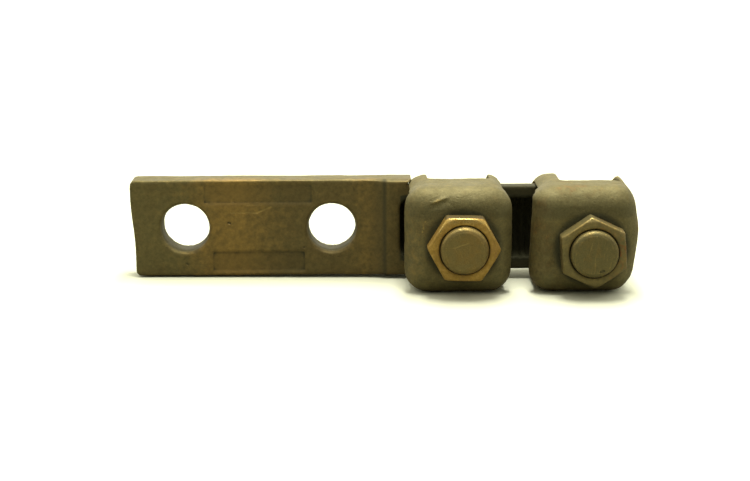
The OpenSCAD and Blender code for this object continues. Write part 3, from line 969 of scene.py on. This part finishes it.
def make_stem(end, settings, finish):
    node = f"{end}_screw_stem"
    low, high = box_in_mm(node)
    axis = screw_axis(end)
    radius = (high.x - low.x) / 2 - settings.stem_gap / MM
    seat, back = axis.y + SEAT_DEPTH, high.y
    # the domed front as (distance back, distance in), then the shank, neck and peened head
    dome = ((0, 2.2), (0.02, 1.45), (0.18, 1.1), (0.38, 0.65), (0.72, 0.28), (1.15, 0.07), (1.7, 0))
    corners = [(low.y + 0.05, 0.4), *((low.y + y, radius - inset) for y, inset in dome),
               (seat - 0.7, radius), (seat, radius - 0.6), (seat, NECK + 0.3), (seat + 0.2, NECK),
               (back - 1.1, NECK), (back - 1.1, HEAD), (back - 0.5, HEAD),
               (back - 0.1, HEAD - 0.45), (back, HEAD - 0.9), (back, 0.4)]
    piece = turned_piece(f"{end}_stem_piece", axis, fine_profile(corners, RING_STEP), STEM_SEGMENTS)
    seed = 12.0 + ENDS.index(end)
    material = stem_material(finish, end, seed)
    hexagon_front = box_in_mm(f"{end}_hexagon")[0].y
    add_geometry_nodes(piece, "Screw thread", {
        "Axis": (axis.x * MM, 0.0, axis.z * MM), "Radius": radius * MM, "Pitch": settings.pitch,
        "Depth": settings.depth, "Start": -(seat - 0.5) * MM, "End": -(hexagon_front + 2.5) * MM,
        "Fade": 1.5 * MM, "Material": material})
    mesh = lay_skin(piece, 1, STEM_SKIN, seed, material)
    mark_edges(mesh, 0.08, 0.25, 6)
    dress(piece, material, node, f"{end}_screw")


def make_saddle(end, settings, finish):
    node = f"{end}_saddle"
    piece = merged_copy(node, f"{end}_saddle_bar")
    reskin(piece, settings.voxel, 3)
    seed = 16.0 + ENDS.index(end)
    material = saddle_material(finish, end, seed)
    mesh = lay_skin(piece, 0.35, skin_of(settings), seed, material)
    mark_edges(mesh, 0.12, 0.3)
    scale_mask(mesh, "edge", 0.35)
    dress(piece, material, node, f"{end}_saddle")


# ---- stage

def make_floor(settings):
    """A wide pale floor that meets the collars and nearly meets the tongue."""
    rest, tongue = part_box("inner_collar")[0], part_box("lug_body")[0]
    slope = settings.floor_share * (tongue.z - rest.z) / (rest.x - tongue.x)
    foot_x = rest.x + 7 * MM
    side = 3.0
    shape = bmesh.new()
    shape.faces.new([shape.verts.new((x, y, rest.z - slope * (x - foot_x))) for x, y in (
        (-side, -side), (side, -side), (side, side), (-side, side))])
    floor = object_from(shape, "floor")
    material = bpy.data.materials.new("pale floor")
    material.use_nodes = True
    tree = material.node_tree
    tree.nodes.remove(tree.nodes["Principled BSDF"])
    path = tree.nodes.new("ShaderNodeLightPath").outputs
    dim = [settings.bounce * part for part in settings.floor]
    matte = add_node(tree, "ShaderNodeBsdfDiffuse", {
        "Color": mixed(path["Is Camera Ray"], dim, settings.floor)})
    # away from the object the floor glows into the white room
    place = tree.nodes.new("ShaderNodeTexCoord").outputs["Object"]
    away = smooth_range(vector_maths("LENGTH", place), 0.22, 0.5)
    glow = add_node(tree, "ShaderNodeEmission", {
        "Color": (1, 1, 0.98, 1), "Strength": times(path["Is Camera Ray"], away)})
    both = add_node(tree, "ShaderNodeAddShader", {0: matte.outputs[0], 1: glow.outputs[0]})
    tree.links.new(both.outputs[0], tree.nodes["Material Output"].inputs["Surface"])
    floor.data.materials.append(material)


def make_world(settings):
    """Plain pale room light, brighter above and behind than in front."""
    world = bpy.data.worlds.new("pale room")
    bpy.context.scene.world = world
    world.use_nodes = True
    tree = world.node_tree
    tree.nodes.clear()
    way = tree.nodes.new("ShaderNodeTexCoord").outputs["Generated"]
    towards = vector_maths("DOT_PRODUCT", way, (0.0, 0.6, 0.8))
    level = times(smooth_range(towards, -0.4, 0.9, 0.1, 1.35), settings.sky)
    room = add_node(tree, "ShaderNodeBackground", {"Color": (1, 0.99, 0.88, 1), "Strength": level})
    plain = add_node(tree, "ShaderNodeBackground", {"Color": (1, 1, 1, 1), "Strength": 1.0})
    path = tree.nodes.new("ShaderNodeLightPath").outputs
    mix = add_node(tree, "ShaderNodeMixShader", {
        0: path["Is Camera Ray"], 1: room.outputs[0], 2: plain.outputs[0]})
    add_node(tree, "ShaderNodeOutputWorld", {"Surface": mix.outputs[0]})


def make_top_lamp(power):
    """A wide soft lamp over the gap between the collars."""
    gap = (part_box("inner_collar")[1].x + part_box("outer_collar")[0].x) / 2
    low, high = CAD_BOX
    foot = Vector((gap, (low.y + high.y) / 2, (low.z + high.z) / 2))
    lamp = bpy.data.lights.new("top lamp", "AREA")
    lamp.shape, lamp.size, lamp.size_y = "RECTANGLE", 0.12, 0.42
    lamp.energy, lamp.color = power, (1.0, 0.99, 0.9)
    holder = link_object("top lamp", lamp)
    holder.location = foot + Vector((0.0, 0.03, 0.55))
    holder.rotation_euler = (foot - holder.location).to_track_quat("-Z", "Y").to_euler()


def make_camera(settings):
    camera = bpy.data.cameras.new("camera")
    camera.sensor_width, camera.lens = 36, settings.lens
    camera.clip_start, camera.clip_end = 0.01, 50
    p, w, r = settings.pitch, settings.yaw, settings.roll
    ahead = Vector((math.sin(w) * math.cos(p), math.cos(w) * math.cos(p), -math.sin(p)))
    right = Vector((math.cos(w), -math.sin(w), 0))
    up = right.cross(ahead)
    right, up = math.cos(r) * right + math.sin(r) * up, math.cos(r) * up - math.sin(r) * right
    turn = Matrix((right, up, -ahead)).transposed().to_4x4()
    turn.translation = (settings.camera_x, settings.camera_y, settings.camera_z)
    holder = link_object("camera", camera)
    holder.matrix_world = turn
    bpy.context.scene.camera = holder


# ---- operators

def make_both(make, settings):
    """Makes a piece at each end of the lug."""
    for end in ENDS:
        make(end, settings, settings.id_data.lug_finish)
    return {"FINISHED"}


class LUG_OT_groups(bpy.types.Operator):
    """Builds the node groups that the pieces share"""
    bl_idname = "lug.groups"
    bl_label = "Node Groups"

    def execute(self, context):
        for build in (cast_skin_group, thread_group, aged_bronze_group, casting_grain_group,
                      hairline_group, scrape_group):
            build()
        return {"FINISHED"}


class LUG_OT_stage(bpy.types.Operator):
    """Makes the camera, the lamp, the pale room and the floor"""
    bl_idname = "lug.stage"
    bl_label = "Stage"

    def execute(self, context):
        settings = context.scene.lug_stage
        make_camera(settings)
        make_world(settings)
        make_floor(settings)
        make_top_lamp(settings.top_light)
        context.scene.view_settings.view_transform = "Standard"
        return {"FINISHED"}


class LUG_OT_casting(bpy.types.Operator):
    """Makes the cast lug: tongue, shoulder and trough"""
    bl_idname = "lug.casting"
    bl_label = "Lug Casting"

    def execute(self, context):
        make_lug(context.scene.lug_casting, context.scene.lug_finish)
        return {"FINISHED"}


class LUG_OT_collars(bpy.types.Operator):
    """Makes the two cast collars"""
    bl_idname = "lug.collars"
    bl_label = "Collars"

    def execute(self, context):
        return make_both(make_collar, context.scene.lug_collars)


class LUG_OT_hexagons(bpy.types.Operator):
    """Makes the two worn hexagons"""
    bl_idname = "lug.hexagons"
    bl_label = "Hexagons"

    def execute(self, context):
        return make_both(make_hexagon, context.scene.lug_screws)


class LUG_OT_stems(bpy.types.Operator):
    """Makes the two threaded stems"""
    bl_idname = "lug.stems"
    bl_label = "Screw Stems"

    def execute(self, context):
        return make_both(make_stem, context.scene.lug_screws)


class LUG_OT_saddles(bpy.types.Operator):
    """Makes the two pressure saddles inside the collars"""
    bl_idname = "lug.saddles"
    bl_label = "Saddles"

    def execute(self, context):
        return make_both(make_saddle, context.scene.lug_collars)


STEPS = (LUG_OT_groups, LUG_OT_stage, LUG_OT_casting, LUG_OT_collars, LUG_OT_hexagons,
         LUG_OT_stems, LUG_OT_saddles)
SETTINGS = {
    "lug_casting": LugCastingSettings, "lug_collars": CollarSettings,
    "lug_screws": ScrewSettings, "lug_finish": FinishSettings, "lug_stage": StageSettings,
}


class LUG_PT_panel(bpy.types.Panel):
    """Lists the steps and the settings of the terminal lug"""
    bl_label = "Terminal Lug"
    bl_idname = "LUG_PT_panel"
    bl_space_type = "VIEW_3D"
    bl_region_type = "UI"
    bl_category = "Terminal Lug"

    def draw(self, context):
        for step in STEPS:
            self.layout.operator(step.bl_idname)
        for name in SETTINGS:
            group = getattr(context.scene, name)
            box = self.layout.box()
            for key in group.__annotations__:
                box.prop(group, key)


def register():
    for made in (*SETTINGS.values(), *STEPS, LUG_PT_panel):
        bpy.utils.register_class(made)
    for name, group in SETTINGS.items():
        setattr(bpy.types.Scene, name, PointerProperty(type=group))


def unregister():
    for name in SETTINGS:
        delattr(bpy.types.Scene, name)
    for made in reversed((*SETTINGS.values(), *STEPS, LUG_PT_panel)):
        bpy.utils.unregister_class(made)


def main():
    register()
    for step in STEPS:
        area, name = step.bl_idname.split(".")
        getattr(getattr(bpy.ops, area), name)()


if __name__ == "__main__":
    main()
